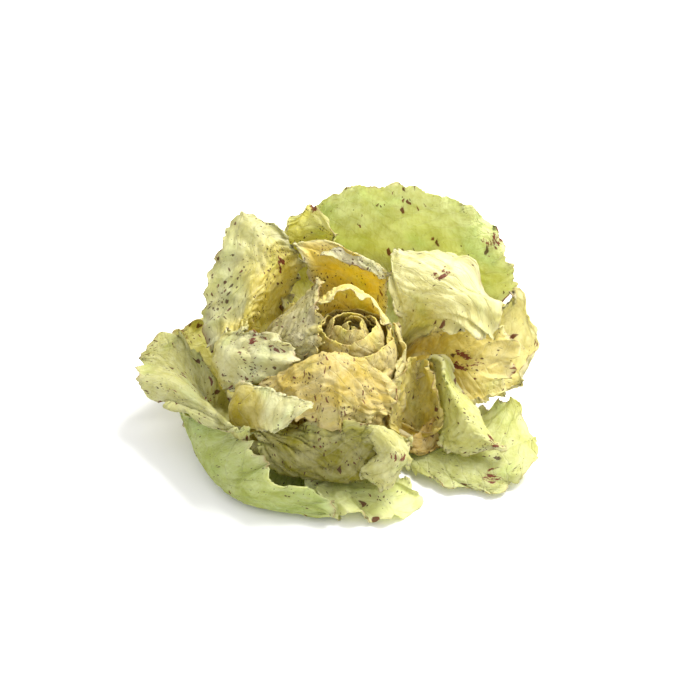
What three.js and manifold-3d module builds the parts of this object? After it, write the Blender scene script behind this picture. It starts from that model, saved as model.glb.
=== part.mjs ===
// A head of variegated radicchio, of the loose rose-shaped kind: thin crinkled leaves in
// three rings round a closed bud, all growing from one short stem that is cut off flat.
// Millimetres, +Z up. The head stands on the cut face of the stem, and the origin is the
// middle of that face. Azimuths are in degrees from +X towards +Y.
import * as THREE from 'three';
import { mergeVertices } from 'three/addons/utils/BufferGeometryUtils.js';
import Module from 'manifold-3d';

// The stem is a cone that leans a little forward, from the cut face to a rounded top.
const STEM_RADIUS = 17;
const STEM_TOP_RADIUS = 6.5;
const STEM_SHOULDER = 22;
const STEM_HEIGHT = 28;
const STEM_LEAN = { x: 0.18, y: -0.38 };
const STEM_SIDES = 24;

// Every leaf is a sheet: a thin blade that thickens towards the foot of its midrib.
const BLADE = 1.0;
const MIDRIB = 2.2;
const GAP = 0.3;
const COLUMNS = 6;
const ROWS_PER_LINE = 2;

// The leaves of each ring: how wide a foot is round the stem, and what a leaf looks like.
const OUTER = { foot: 13, colour: '#c3cc83', roughness: 0.55 };
const MIDDLE = { foot: 9, colour: '#d8d59a', roughness: 0.6 };
const INNER = { foot: 9, colour: '#b9a862', roughness: 0.6 };

// The bud is a whorl of shells, one inside the other, round a point above the stem.
const BUD = { x: 9, y: -17, z: 55, radius: 25.5, halfHeight: 34, colour: '#bca45f', roughness: 0.6 };
const BUD_LEAVES = 9;
const BUD_RADIUS_STEP = 2.2;
const BUD_HEIGHT_STEP = 1.5;
const BUD_FIRST_AZIMUTH = 290;
const BUD_TURN = 137.5;

const radians = THREE.MathUtils.degToRad;
const wasm = await Module();
wasm.setup();

const head = new THREE.Group();

function solidOf(geometry) {
  const bare = geometry.clone();
  bare.deleteAttribute('normal');
  bare.deleteAttribute('uv');
  const merged = mergeVertices(bare, 1e-4);
  return new wasm.Manifold(new wasm.Mesh({
    numProp: 3,
    vertProperties: merged.attributes.position.array,
    triVerts: new Uint32Array(merged.index.array),
  }));
}

function geometryOf(solid) {
  const { vertProperties, triVerts } = solid.getMesh();
  const geometry = new THREE.BufferGeometry();
  geometry.setAttribute('position', new THREE.BufferAttribute(vertProperties, 3));
  geometry.setIndex(new THREE.BufferAttribute(triVerts, 1));
  geometry.computeVertexNormals();
  return geometry;
}

function largestBody(solid) {
  const bodies = solid.decompose();
  return bodies.reduce((best, body) => (body.volume() > best.volume() ? body : best));
}

// The space that the pieces made so far take up, with the gap round them.
let taken = null;

function addPiece(name, look, solid, solidWithGap) {
  const free = taken ? largestBody(solid.subtract(taken).simplify(0.04)) : solid;
  taken = taken ? taken.add(solidWithGap) : solidWithGap;
  const { colour, roughness } = look;
  const material = new THREE.MeshStandardMaterial({ color: colour, roughness, metalness: 0 });
  const mesh = new THREE.Mesh(geometryOf(free), material);
  mesh.name = name;
  head.add(mesh);
}

// ---- Stem ----

function stemRadius(height) {
  return THREE.MathUtils.mapLinear(height, 0, STEM_SHOULDER, STEM_RADIUS, STEM_TOP_RADIUS);
}

function stemSolid(grow) {
  const profile = [
    new THREE.Vector2(0, -grow),
    new THREE.Vector2(STEM_RADIUS + grow, -grow),
    new THREE.Vector2(STEM_TOP_RADIUS + grow, STEM_SHOULDER),
    new THREE.Vector2(STEM_TOP_RADIUS * 0.6 + grow, STEM_HEIGHT - 1.5),
    new THREE.Vector2(0, STEM_HEIGHT + grow),
  ];
  const lathe = new THREE.LatheGeometry(profile, STEM_SIDES).rotateX(Math.PI / 2);
  const lean = new THREE.Matrix4();
  lean.makeShear(0, 0, 0, 0, STEM_LEAN.x, STEM_LEAN.y);
  return solidOf(lathe.applyMatrix4(lean));
}

const STEM_LOOK = { colour: '#d9cfa0', roughness: 0.7 };
addPiece('stem', STEM_LOOK, stemSolid(0), stemSolid(GAP));

// ---- Leaf sheets ----

// A smooth curve through the points.
function curveThrough(points) {
  return new THREE.CatmullRomCurve3(points, false, 'catmullrom', 0.5);
}

// The line across a leaf where it leaves the stem, with as many points as its other lines.
function footLine(azimuth, height, width, count) {
  const radius = stemRadius(height);
  const half = width / radius / 2;
  return Array.from({ length: count }, (_, i) => {
    const angle = radians(azimuth) + half * (2 * i / (count - 1) - 1);
    const x = STEM_LEAN.x * height + radius * Math.cos(angle);
    const y = STEM_LEAN.y * height + radius * Math.sin(angle);
    return new THREE.Vector3(x, y, height);
  });
}

// A leaf's surface: across runs over its width and along from the foot to the tip, both
// from 0 to 1. It passes through the foot and through lines of points across the leaf.
function leafSurface(foot, lines) {
  const rows = lines.map((line) => line.map((point) => new THREE.Vector3(...point)));
  const last = foot.length - 1;
  const straight = foot[0].distanceTo(rows[0][0]) + foot[last].distanceTo(rows[0][last]);
  const crossed = foot[last].distanceTo(rows[0][0]) + foot[0].distanceTo(rows[0][last]);
  const start = crossed < straight ? [...foot].reverse() : foot;
  const curves = [start, ...rows].map(curveThrough);
  return (across, along) => {
    const points = curves.map((curve) => curve.getPoint(across));
    return curveThrough(points).getPoint(along);
  };
}

// The thickness of a leaf there, greatest at the foot of the midrib.
function leafThickness(across, along) {
  const midrib = Math.max(0, 1 - 4 * Math.abs(across - 0.5));
  return BLADE + (MIDRIB - BLADE) * midrib * (1 - along) ** 2;
}

// The sheet as a closed solid, made larger all round by grow.
function sheetSolid(surface, columns, rows, grow) {
  const at = (column, row) => surface(column / columns, row / rows);
  const upper = [];
  const lower = [];
  for (let row = 0; row <= rows; row += 1) {
    for (let column = 0; column <= columns; column += 1) {
      const acrossWay = at(Math.min(column + 1, columns), row);
      acrossWay.sub(at(Math.max(column - 1, 0), row)).normalize();
      const alongWay = at(column, Math.min(row + 1, rows));
      alongWay.sub(at(column, Math.max(row - 1, 0))).normalize();
      const normal = acrossWay.clone().cross(alongWay).normalize();
      const half = leafThickness(column / columns, row / rows) / 2 + grow;
      const middle = at(column, row);
      middle.addScaledVector(acrossWay, grow * ((column === columns) - (column === 0)));
      middle.addScaledVector(alongWay, grow * ((row === rows) - (row === 0)));
      upper.push(...middle.clone().addScaledVector(normal, half).toArray());
      lower.push(...middle.clone().addScaledVector(normal, -half).toArray());
    }
  }
  const width = columns + 1;
  const under = width * (rows + 1);
  const faces = [];
  for (let row = 0; row < rows; row += 1) {
    for (let column = 0; column < columns; column += 1) {
      const a = row * width + column;
      const b = a + 1;
      const c = b + width;
      const d = a + width;
      faces.push(a, b, c, a, c, d);
      faces.push(under + a, under + c, under + b, under + a, under + d, under + c);
    }
  }
  const rim = [];
  for (let column = 0; column < columns; column += 1) rim.push(column);
  for (let row = 0; row < rows; row += 1) rim.push(row * width + columns);
  for (let column = columns; column > 0; column -= 1) rim.push(rows * width + column);
  for (let row = rows; row > 0; row -= 1) rim.push(row * width);
  rim.forEach((from, i) => {
    const to = rim[(i + 1) % rim.length];
    faces.push(from, under + from, under + to, from, under + to, to);
  });
  const geometry = new THREE.BufferGeometry();
  const positions = new Float32Array([...upper, ...lower]);
  geometry.setAttribute('position', new THREE.BufferAttribute(positions, 3));
  geometry.setIndex(faces);
  return solidOf(geometry);
}

function addSheet(name, look, surface, columns, rows) {
  const solid = sheetSolid(surface, columns, rows, 0);
  const solidWithGap = sheetSolid(surface, columns, rows, GAP);
  addPiece(name, look, solid, solidWithGap);
}

// One leaf: the azimuth and height of its foot on the stem, and the lines of points across
// it, from the foot to the tip.
function addLeaf(ring, name, azimuth, height, lines) {
  const foot = footLine(azimuth, height, ring.foot, lines[0].length);
  addSheet(name, ring, leafSurface(foot, lines), COLUMNS, ROWS_PER_LINE * lines.length);
}

// ---- Bud ----

// Each shell covers about two thirds of an egg and leans in over its top. The inner ones
// reach further over it, so that the margins show there as a whorl.
function budSurface(index) {
  const radius = BUD.radius - BUD_RADIUS_STEP * index;
  const halfHeight = BUD.halfHeight - BUD_HEIGHT_STEP * index;
  const fromTop = 62 - 6.5 * index;
  const fromBottom = 160;
  return (across, along) => {
    const polar = radians(THREE.MathUtils.lerp(fromBottom, fromTop, along));
    const halfSpan = 112 - 30 * along ** 2;
    const middle = BUD_FIRST_AZIMUTH + BUD_TURN * index;
    const angle = radians(middle + halfSpan * (2 * across - 1));
    return new THREE.Vector3(
      BUD.x + radius * Math.sin(polar) * Math.cos(angle),
      BUD.y + radius * Math.sin(polar) * Math.sin(angle),
      BUD.z + halfHeight * Math.cos(polar),
    );
  };
}

for (let index = BUD_LEAVES - 1; index >= 0; index -= 1) {
  addSheet(`bud_leaf_${index + 1}`, BUD, budSurface(index), 10, 6);
}

// ---- Inner leaves, wrapped loosely round the bud ----

addLeaf(INNER, 'inner_leaf_right', 330, 19, [
  [[24, -44, 22], [30, -37, 22], [34, -26, 24], [37, -12, 28], [36, 2, 34]],
  [[30, -44, 34], [34, -36, 35], [37, -26, 37], [39, -13, 40], [36, 1, 46]],
  [[30, -42, 42], [34, -34, 44], [37, -24, 47], [38, -13, 51], [35, 0, 60]],
  [[28, -39, 47], [32, -32, 50], [35, -22, 54], [36, -12, 60], [32, 0, 70]],
]);

addLeaf(INNER, 'inner_leaf_back', 60, 21, [
  [[-14, 10, 36], [-2, 15, 36], [10, 17, 36], [22, 14, 36], [31, 8, 36]],
  [[-18, 6, 56], [-4, 14, 58], [10, 17, 58], [24, 12, 56], [33, 2, 54]],
  [[-11, 3, 76], [-3, 8, 80], [9, 9, 82], [23, 2, 79], [33, -12, 71]],
  [[-9, -4, 79], [-1, -2, 84], [9, 0, 86], [20, -4, 83], [29, -18, 73]],
]);

addLeaf(INNER, 'inner_leaf_left', 182, 20, [
  [[-25, -29, 32], [-38, -17, 32], [-44, 1, 32], [-41, 17, 36], [-30, 28, 41]],
  [[-22, -33, 52], [-31, -28, 54], [-38, -11, 55], [-33, 11, 58], [-21, 25, 60]],
  [[-13, -35, 67], [-19, -31, 70], [-22, -19, 73], [-17, 4, 75], [-10, 22, 74]],
  [[-6, -34, 76], [-8, -31, 80], [-9, -22, 85], [-11, -3, 85], [-8, 25, 80]],
]);

addLeaf(INNER, 'inner_leaf_front', 262, 17, [
  [[-26, -46, 20], [-14, -50, 19], [0, -51, 19], [13, -50, 20], [26, -45, 22]],
  [[-33, -44, 40], [-19, -49, 46], [-2, -50, 47], [15, -48, 45], [29, -42, 38]],
  [[-37, -43, 59], [-22, -44, 69], [-3, -42, 73], [14, -42, 70], [28, -38, 56]],
  [[-42, -54, 52], [-23, -57, 63], [-3, -59, 64], [14, -57, 59], [30, -47, 46]],
  [[-40, -58, 46], [-20, -66, 49], [-2, -69, 43], [14, -65, 44], [27, -53, 42]],
]);

// ---- Middle leaves, half open and folded over one another ----

addLeaf(MIDDLE, 'middle_leaf_pocket', 318, 15, [
  [[34, -45, 20], [37, -42, 15], [42, -40, 13], [47, -40, 15], [51, -41, 19]],
  [[28, -48, 32], [34, -36, 16], [43, -30, 10], [52, -32, 13], [60, -40, 26]],
  [[31, -38, 40], [37, -26, 26], [45, -20, 20], [53, -22, 23], [59, -32, 35]],
  [[36, -26, 49], [41, -15, 36], [46, -11, 31], [51, -14, 35], [55, -24, 47]],
  [[42, -12, 52], [44, -7, 45], [46, -5, 42], [49, -7, 45], [51, -13, 49]],
]);

addLeaf(MIDDLE, 'middle_leaf_pocket_flap', 300, 9, [
  [[33, -38, 8], [38, -38, 8], [43, -37, 8], [48, -36, 8], [53, -35, 9]],
  [[40, -48, 10], [45, -50, 9], [51, -50, 9], [56, -47, 9], [60, -42, 9]],
  [[40, -42, 15], [45, -40, 19], [50, -37, 21], [54, -32, 23], [59, -30, 16]],
]);

addLeaf(MIDDLE, 'middle_leaf_ridge', 345, 13, [
  [[50, 0, 38], [52, -4, 41], [55, -6, 43], [58, -3, 41], [60, 3, 38]],
  [[56, -19, 28], [58, -23, 37], [61, -26, 44], [67, -22, 38], [71, -17, 28]],
  [[57, -36, 19], [63, -40, 28], [70, -44, 36], [78, -37, 30], [82, -32, 20]],
  [[58, -51, 15], [67, -53, 19], [78, -55, 28], [88, -52, 24], [90, -50, 19]],
  [[69, -54, 13], [80, -57, 16], [91, -59, 20], [95, -55, 20], [95, -50, 19]],
]);

addLeaf(MIDDLE, 'middle_leaf_right_cup', 10, 11, [
  [[50, -12, 37], [48, 0, 34], [46, 10, 34], [45, 16, 36], [45, 20, 40]],
  [[61, -18, 29], [59, -4, 28], [58, 6, 32], [59, 14, 40], [63, 18, 50]],
  [[77, -22, 24], [76, -14, 27], [76, -4, 36], [79, 4, 46], [84, 12, 56]],
  [[91, -17, 28], [98, -11, 28], [103, -3, 33], [104, 4, 42], [99, 10, 53]],
]);

addLeaf(MIDDLE, 'middle_leaf_right_fold', 42, 16, [
  [[35, 10, 48], [38, 14, 46], [41, 17, 45], [45, 17, 44], [49, 17, 42]],
  [[33, 13, 70], [38, 11, 72], [46, 11, 72], [56, 5, 68], [64, 1, 60]],
  [[32, 24, 82], [39, 22, 86], [58, 16, 84], [75, 6, 76], [79, -11, 62]],
  [[33, 37, 88], [45, 32, 90], [71, 32, 88], [92, 8, 74], [91, -6, 58]],
]);

addLeaf(MIDDLE, 'middle_leaf_back_rim', 92, 15, [
  [[-12, 26, 34], [0, 29, 34], [12, 30, 34], [22, 27, 34], [30, 21, 34]],
  [[-12, 38, 54], [-1, 44, 55], [11, 44, 55], [22, 37, 54], [31, 26, 52]],
  [[-18, 39, 76], [-3, 39, 78], [10, 36, 78], [22, 29, 76], [30, 21, 72]],
  [[-25, 49, 84], [-6, 47, 88], [10, 37, 88], [23, 29, 85], [31, 24, 80]],
  [[-22, 43, 80], [-6, 38, 82], [8, 30, 83], [21, 24, 80], [29, 20, 76]],
]);

addLeaf(MIDDLE, 'middle_leaf_crest', 130, 12, [
  [[-24, 22, 26], [-17, 27, 27], [-9, 30, 28], [-2, 31, 28], [5, 30, 28]],
  [[-37, 54, 56], [-30, 60, 56], [-21, 62, 56], [-11, 63, 56], [-1, 62, 56]],
  [[-36, 54, 80], [-29, 60, 82], [-21, 61, 82], [-10, 60, 82], [-1, 56, 82]],
  [[-30, 56, 90], [-23, 66, 94], [-13, 73, 96], [-6, 63, 94], [2, 49, 88]],
]);

addLeaf(MIDDLE, 'middle_leaf_left_tall', 165, 16, [
  [[-28, 2, 19], [-30, 10, 19], [-29, 18, 20], [-25, 25, 22], [-18, 30, 25]],
  [[-51, 8, 36], [-49, 21, 35], [-44, 33, 36], [-36, 42, 40], [-26, 48, 44]],
  [[-53, 2, 58], [-48, 14, 64], [-42, 26, 68], [-31, 40, 68], [-20, 49, 66]],
  [[-54, -6, 55], [-53, 12, 66], [-46, 30, 82], [-38, 40, 91], [-21, 48, 79]],
  [[-71, -12, 44], [-76, 8, 57], [-72, 30, 79], [-55, 54, 102], [-28, 49, 88]],
]);

addLeaf(MIDDLE, 'middle_leaf_left_frill', 192, 14, [
  [[-54, -26, 28], [-58, -17, 28], [-61, -8, 29], [-62, 2, 32], [-60, 8, 37]],
  [[-61, -31, 40], [-67, -24, 44], [-69, -17, 50], [-67, -10, 56], [-60, -5, 62]],
  [[-51, -43, 52], [-53, -36, 58], [-55, -29, 64], [-53, -20, 68], [-47, -16, 70]],
  [[-38, -42, 56], [-27, -43, 61], [-17, -42, 71], [-25, -33, 75], [-35, -25, 76]],
]);

addLeaf(MIDDLE, 'middle_leaf_folded_tip', 232, 15, [
  [[-22, -46, 14], [-17, -50, 14], [-11, -53, 14], [-5, -55, 14], [1, -56, 14]],
  [[-58, -62, 38], [-57, -60, 44], [-55, -58, 50], [-53, -55, 55], [-51, -50, 58]],
  [[-42, -68, 43], [-42, -68, 50], [-41, -66, 56], [-40, -61, 60], [-39, -55, 63]],
  [[-30, -75, 49], [-29, -76, 56], [-27, -74, 60], [-26, -70, 63], [-25, -65, 65]],
  [[-19, -78, 62], [-16, -78, 65], [-13, -77, 67], [-12, -75, 67], [-13, -73, 68]],
]);

addLeaf(MIDDLE, 'middle_leaf_front_lobe', 285, 13, [
  [[14, -47, 14], [19, -47, 14], [24, -46, 14], [29, -45, 14], [34, -43, 15]],
  [[24, -67, 30], [29, -66, 31], [34, -65, 32], [38, -64, 32], [42, -62, 31]],
  [[7, -65, 45], [16, -68, 47], [24, -69, 45], [32, -68, 40], [40, -64, 31]],
  [[21, -72, 32], [26, -78, 36], [32, -81, 37], [37, -80, 35], [42, -75, 29]],
  [[12, -78, 23], [19, -85, 26], [26, -88, 26], [32, -87, 26], [38, -80, 25]],
  [[17, -79, 15], [20, -83, 15], [25, -85, 14], [30, -85, 17], [33, -82, 19]],
]);

addLeaf(MIDDLE, 'middle_leaf_front', 260, 11, [
  [[-22, -30, 10], [-10, -36, 10], [4, -38, 10], [16, -36, 10], [26, -32, 11]],
  [[-36, -72, 22], [-19, -79, 16], [0, -79, 14], [18, -76, 15], [32, -70, 18]],
  [[-43, -70, 38], [-24, -75, 37], [-5, -76, 36], [14, -77, 39], [32, -71, 32]],
  [[-42, -61, 44], [-24, -63, 45], [-4, -64, 47], [12, -70, 52], [31, -68, 43]],
]);

// ---- Outer leaves, spread out below the rest ----

addLeaf(OUTER, 'outer_leaf_left', 184, 9, [
  [[-22, -28, 7], [-29, -24, 8], [-35, -15, 10], [-39, -5, 12], [-41, 6, 15]],
  [[-43, -60, 18], [-51, -51, 17], [-56, -36, 17], [-59, -17, 20], [-57, 4, 27]],
  [[-49, -76, 49], [-58, -68, 47], [-67, -50, 41], [-71, -31, 31], [-68, -2, 34]],
  [[-61, -70, 44], [-63, -58, 45], [-72, -34, 35], [-79, -10, 31], [-80, 6, 38]],
  [[-87, -40, 34], [-86, -28, 39], [-91, -9, 35], [-93, 8, 35], [-88, 18, 43]],
  [[-104, -22, 28], [-112, -11, 32], [-115, 0, 34], [-112, 7, 38], [-105, 16, 42]],
]);

addLeaf(OUTER, 'outer_leaf_back_fan', 76, 8, [
  [[0, 34, 22], [10, 35, 18], [22, 34, 17], [34, 29, 18], [44, 22, 22]],
  [[-22, 76, 52], [5, 72, 52], [37, 68, 50], [70, 61, 48], [97, 40, 50]],
  [[-18, 73, 80], [5, 71, 84], [34, 71, 84], [69, 63, 80], [100, 46, 74]],
  [[-12, 74, 97], [9, 71, 107], [34, 73, 110], [65, 68, 104], [91, 65, 92]],
]);

addLeaf(OUTER, 'outer_leaf_front', 266, 7, [
  [[-12, -38, 7], [-4, -40, 7], [6, -41, 7], [16, -40, 7], [25, -36, 7]],
  [[-12, -67, 10], [-2, -67, 9], [8, -67, 8], [20, -67, 7], [33, -65, 7]],
  [[-16, -81, 14], [-3, -82, 11], [10, -81, 9], [25, -78, 7], [40, -70, 7]],
  [[-4, -92, 12], [8, -96, 8], [18, -98, 5], [30, -98, 3], [52, -83, 4]],
]);

addLeaf(OUTER, 'outer_leaf_right_rear', 14, 6, [
  [[34, -2, 10], [37, 4, 9], [38, 10, 9], [37, 16, 9], [34, 21, 10]],
  [[62, -4, 14], [67, 3, 14], [67, 13, 15], [64, 21, 19], [59, 28, 25]],
  [[98, -6, 18], [107, 3, 25], [107, 14, 37], [103, 22, 48], [98, 29, 58]],
  [[108, -4, 29], [114, 6, 39], [113, 17, 50], [109, 26, 62], [100, 30, 71]],
]);

addLeaf(OUTER, 'outer_leaf_left_rear', 148, 6, [
  [[-26, 4, 10], [-30, 10, 9], [-30, 17, 9], [-26, 24, 10], [-20, 28, 13]],
  [[-60, 8, 19], [-63, 17, 16], [-60, 30, 18], [-49, 43, 24], [-35, 50, 31]],
  [[-84, 10, 29], [-84, 22, 30], [-76, 40, 34], [-61, 55, 40], [-42, 60, 46]],
  [[-97, 16, 40], [-90, 24, 42], [-80, 36, 39], [-67, 50, 34], [-51, 60, 36]],
]);

addLeaf(OUTER, 'outer_leaf_right', 322, 4, [
  [[32, -42, 4], [36, -36, 5], [41, -29, 6], [46, -21, 6], [50, -15, 7]],
  [[44, -60, 4], [50, -50, 6], [56, -40, 8], [64, -29, 10], [71, -20, 12]],
  [[63, -70, 4], [70, -63, 8], [76, -49, 9], [82, -28, 8], [85, -6, 8]],
  [[79, -73, 3], [89, -68, 8], [96, -52, 10], [99, -27, 9], [97, 2, 9]],
  [[90, -74, 2], [102, -67, 7], [114, -48, 11], [110, -24, 10], [103, 2, 9]],
]);

addLeaf(OUTER, 'outer_leaf_front_left', 226, 3.5, [
  [[-34, -8, 5], [-31, -22, 4], [-23, -33, 3], [-10, -42, 3], [6, -46, 3]],
  [[-77, -27, 12], [-69, -50, 5], [-54, -73, 3], [-27, -86, 2], [4, -92, 2]],
  [[-88, -28, 24], [-76, -54, 19], [-61, -76, 14], [-38, -90, 12], [0, -95, 7]],
  [[-62, -54, 36], [-46, -68, 43], [-37, -82, 36], [-27, -90, 25], [5, -95, 15]],
]);

addLeaf(OUTER, 'outer_leaf_back', 112, 4, [
  [[-26, 24, 8], [-13, 33, 7], [0, 36, 7], [12, 35, 7], [24, 30, 8]],
  [[-46, 50, 22], [-20, 60, 16], [4, 64, 14], [26, 62, 16], [42, 54, 20]],
  [[-57, 66, 42], [-28, 80, 36], [4, 85, 32], [32, 80, 36], [52, 70, 42]],
  [[-58, 72, 60], [-32, 88, 58], [2, 94, 55], [34, 89, 56], [56, 77, 57]],
]);

addLeaf(OUTER, 'outer_leaf_right_back', 45, 3, [
  [[24, 26, 5], [30, 22, 5], [35, 17, 5], [39, 11, 5], [42, 4, 5]],
  [[42, 56, 16], [54, 51, 13], [63, 43, 12], [69, 34, 12], [73, 24, 14]],
  [[52, 77, 34], [68, 69, 30], [80, 57, 28], [88, 44, 28], [94, 32, 32]],
  [[56, 84, 51], [73, 76, 48], [86, 63, 45], [96, 48, 46], [101, 36, 50]],
]);

export default head;
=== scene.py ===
import math

import bpy
import numpy as np
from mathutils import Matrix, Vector


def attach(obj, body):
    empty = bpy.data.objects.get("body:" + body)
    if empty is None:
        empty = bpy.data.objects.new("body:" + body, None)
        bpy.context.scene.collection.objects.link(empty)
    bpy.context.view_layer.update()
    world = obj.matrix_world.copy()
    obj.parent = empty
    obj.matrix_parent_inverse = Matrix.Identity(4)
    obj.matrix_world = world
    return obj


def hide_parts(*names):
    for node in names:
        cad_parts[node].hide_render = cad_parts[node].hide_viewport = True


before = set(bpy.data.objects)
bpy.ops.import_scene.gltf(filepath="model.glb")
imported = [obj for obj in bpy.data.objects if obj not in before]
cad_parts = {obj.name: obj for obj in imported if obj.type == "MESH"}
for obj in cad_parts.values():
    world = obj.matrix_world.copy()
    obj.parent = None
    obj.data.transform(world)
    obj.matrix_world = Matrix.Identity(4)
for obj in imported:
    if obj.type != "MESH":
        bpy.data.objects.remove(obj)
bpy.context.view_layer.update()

# ---- Camera ----
# It looks down on the head from the front, at 38 degrees, far enough off that the leaves
# keep their proportions.
VIEW_DOWN = math.radians(38)
VIEW_DISTANCE = 1.2
VIEW_TARGET = Vector((0.008, 0.0, 0.045))

bpy.ops.object.camera_add(
    location=VIEW_TARGET + VIEW_DISTANCE * Vector((0, -math.cos(VIEW_DOWN), math.sin(VIEW_DOWN))),
    rotation=(math.pi / 2 - VIEW_DOWN, 0, 0),
)
camera = bpy.context.object
camera.data.lens = 109.2
camera.data.sensor_width = 36
bpy.context.scene.camera = camera

# ---- Stem ----
# The short stem that every leaf grows from. It is firm pale tissue, cut off flat with a
# knife, and the cut has browned from the rim inwards. The leaf scars ring it.
MM = 0.001
STEM_RADIUS = 17 * MM
STEM_TOP_RADIUS = 6.5 * MM
STEM_SHOULDER = 22 * MM
STEM_HEIGHT = 28 * MM
STEM_LEAN = (0.18, -0.38)
STEM_SIDES = 96


def wander(places, size, seed):
    """A smooth random value, mostly between -1 and 1, that changes over about the size."""
    chance = np.random.default_rng(seed)
    total = np.zeros(len(places))
    for _ in range(9):
        way = chance.normal(size=places.shape[1])
        way *= 2 * math.pi / size * chance.uniform(0.5, 1.3) / np.linalg.norm(way)
        total += np.sin(places @ way + chance.uniform(0, 2 * math.pi))
    return total / 3


def places_of(mesh):
    """The mesh's vertices as rows of x, y and z."""
    places = np.empty(len(mesh.vertices) * 3)
    mesh.vertices.foreach_get("co", places)
    return places.reshape(-1, 3)


def move_to(mesh, places):
    """Puts the mesh's vertices at these places."""
    mesh.vertices.foreach_set("co", places.ravel())
    mesh.update()


def add(tree, kind, inputs=None, **settings):
    """A new node of the tree, with its settings, and its inputs linked or given values."""
    node = tree.nodes.new(kind)
    for name, value in settings.items():
        setattr(node, name, value)
    for name, value in (inputs or {}).items():
        if isinstance(value, bpy.types.NodeSocket):
            tree.links.new(value, node.inputs[name])
        else:
            node.inputs[name].default_value = value
    return node


def calculate(tree, operation, first, second=0.0, third=0.0):
    """The result of a sum on sockets or numbers."""
    inputs = {0: first, 1: second, 2: third}
    return add(tree, "ShaderNodeMath", inputs, operation=operation).outputs[0]


def spread(tree, value, low, high):
    """The value taken smoothly from 0 at low to 1 at high."""
    inputs = {"Value": value, "From Min": low, "From Max": high}
    return add(tree, "ShaderNodeMapRange", inputs, interpolation_type="SMOOTHSTEP").outputs[0]


def blend_colours(tree, share, first, second, kind="MIX"):
    """The first colour taken towards the second by the share."""
    node = add(tree, "ShaderNodeMix", data_type="RGBA", blend_type=kind)
    for socket, value in zip((node.inputs[0], node.inputs[6], node.inputs[7]), (share, first, second)):
        if isinstance(value, bpy.types.NodeSocket):
            tree.links.new(value, socket)
        else:
            socket.default_value = value
    return node.outputs[2]


def shade(red, green, blue):
    """A colour as it looks on a screen, from 0 to 255, as the shader's own numbers."""
    return tuple((part / 255) ** 2.2 for part in (red, green, blue)) + (1.0,)


def new_material(name):
    """A material with only its output, and its tree."""
    material = bpy.data.materials.new(name)
    material.use_nodes = True
    material.node_tree.nodes.clear()
    return material, material.node_tree


bpy.ops.object.select_all(action="DESELECT")
bpy.ops.mesh.primitive_cone_add(
    vertices=STEM_SIDES, radius1=STEM_RADIUS, radius2=STEM_TOP_RADIUS, depth=STEM_HEIGHT,
    end_fill_type="TRIFAN", location=(0, 0, STEM_HEIGHT / 2),
)
stem = bpy.context.object
stem.name = "stem_cut"
bpy.ops.object.transform_apply(location=True)
bpy.ops.object.mode_set(mode="EDIT")
bpy.ops.mesh.subdivide(number_cuts=7)
bpy.ops.object.mode_set(mode="OBJECT")
places = places_of(stem.data)
height = places[:, 2].copy()
around = np.arctan2(places[:, 1], places[:, 0])
wall = np.interp(height, [0, STEM_SHOULDER, STEM_HEIGHT], [STEM_RADIUS, STEM_TOP_RADIUS, 3 * MM])
straight = STEM_RADIUS + (STEM_TOP_RADIUS - STEM_RADIUS) * height / STEM_HEIGHT
scars = 0.5 * MM * np.sin(height / (2.4 * MM) * math.pi + 3 * np.sin(around * 2))
ridges = 0.7 * MM * np.sin(around * 7 + height / (9 * MM)) * np.clip(height / (4 * MM), 0.3, 1)
swell = (wall + (scars + ridges) * np.clip(height / (3 * MM), 0, 1)) / straight
places[:, :2] *= swell[:, None]
places[:, 0] += STEM_LEAN[0] * height
places[:, 1] += STEM_LEAN[1] * height
move_to(stem.data, places)
bpy.ops.object.shade_smooth_by_angle(angle=math.radians(50))

stem_material, tree = new_material("stem flesh")
where = add(tree, "ShaderNodeTexCoord").outputs["Object"]
blotch = add(tree, "ShaderNodeTexNoise", {"Vector": where, "Scale": 220.0, "Detail": 6.0}).outputs["Fac"]
grain = add(tree, "ShaderNodeTexNoise", {"Vector": where, "Scale": 1400.0, "Detail": 3.0}).outputs["Fac"]
length = add(tree, "ShaderNodeVectorMath", {0: where}, operation="LENGTH").outputs["Value"]
rings = add(tree, "ShaderNodeTexWave", {"Vector": where, "Scale": 130.0, "Distortion": 2.0,
                                        "Detail": 2.0}, wave_type="RINGS", rings_direction="Z")
browned = spread(tree, calculate(tree, "MULTIPLY_ADD", blotch, 0.006, length), 0.012, 0.0205)
flesh = blend_colours(tree, blotch, shade(226, 217, 178), shade(206, 190, 140))
ringed = calculate(tree, "MULTIPLY", rings.outputs["Fac"], 0.25)
flesh = blend_colours(tree, ringed, flesh, shade(178, 150, 98))
flesh = blend_colours(tree, calculate(tree, "MULTIPLY", browned, 0.75), flesh, shade(150, 104, 62))
bump = add(tree, "ShaderNodeBump", {"Height": grain, "Strength": 0.5, "Distance": 0.0004})
skin = add(tree, "ShaderNodeBsdfPrincipled", {"Base Color": flesh, "Roughness": 0.62,
                                              "Normal": bump.outputs[0]})
add(tree, "ShaderNodeOutputMaterial", {"Surface": skin.outputs[0]})
stem.data.materials.append(stem_material)
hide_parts("stem")
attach(stem, "root")

# ---- Bud ----
# The heart of the head: a whorl of blanched leaves, one inside the other, which closes over
# the growing tip. They are thin, pale yellow and crinkled, and each starts on the stem.
BUD = np.array((9, -17, 55)) * MM
BUD_RADIUS = 25.5 * MM
BUD_HALF_HEIGHT = 34 * MM
BUD_LEAVES = 9
BUD_RADIUS_STEP = 2.2 * MM
BUD_HEIGHT_STEP = 1.5 * MM
BUD_FIRST_AZIMUTH = 290
BUD_TURN = 137.5
BUD_FROM_BOTTOM = 160
BUD_FROM_TOP = 62
BUD_FROM_TOP_STEP = 6.5
BUD_HALF_SPAN = 112
BUD_NARROWING = 30

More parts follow.
